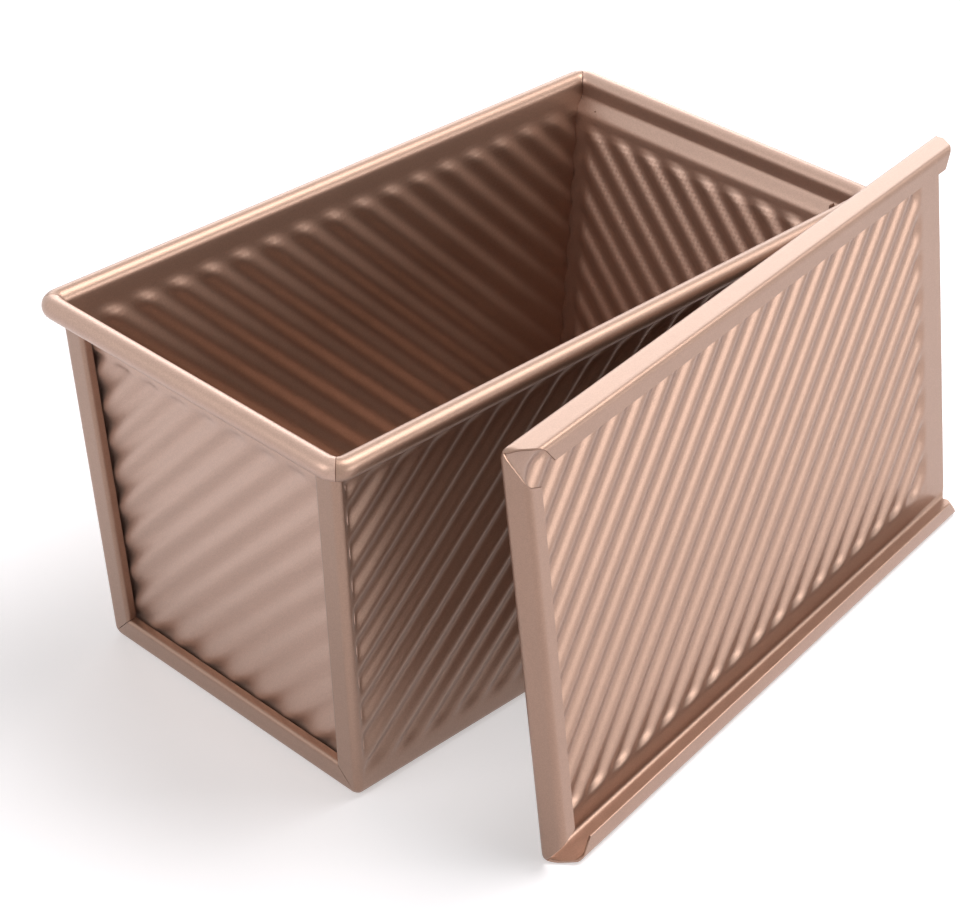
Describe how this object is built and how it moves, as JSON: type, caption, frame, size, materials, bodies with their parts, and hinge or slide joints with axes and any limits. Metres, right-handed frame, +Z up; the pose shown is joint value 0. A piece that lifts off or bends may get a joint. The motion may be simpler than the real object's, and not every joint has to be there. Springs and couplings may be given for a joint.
{
  "type": "pullman loaf pan",
  "caption": "Corrugated pullman loaf pan with a wired rolled rim and channel-framed ends, its slide-on lid taken off and leaning against one long side.",
  "frame": {"origin": "centre of the pan's underside, in the plane of its flat border", "axes": "+X along the pan's length, away from the lid's stop flange; +Y across it, away from the leaning lid; +Z up, towards the open rim"},
  "size_m": [0.2443, 0.1713, 0.1215],
  "materials": {
    "pan_coating": "champagne-gold non-stick coating with fine metallic flake",
    "end_coating": "champagne-gold non-stick coating with fine metallic flake",
    "lid_coating": "champagne-gold non-stick coating with fine metallic flake",
    "wire_steel": "drawn steel wire"
  },
  "bodies": {
    "pan": {"pan_body": "pan_coating", "end_wall_left": "end_coating", "end_wall_right": "end_coating", "rim_wire": "wire_steel"},
    "lid": {"lid": "lid_coating"}
  },
  "joints": [
    {"name": "lid_slide", "type": "slide", "parent": "pan", "child": "lid", "axis": [-0.9887, -0.1501, 0], "range_m": [0, 0.2]}
  ]
}
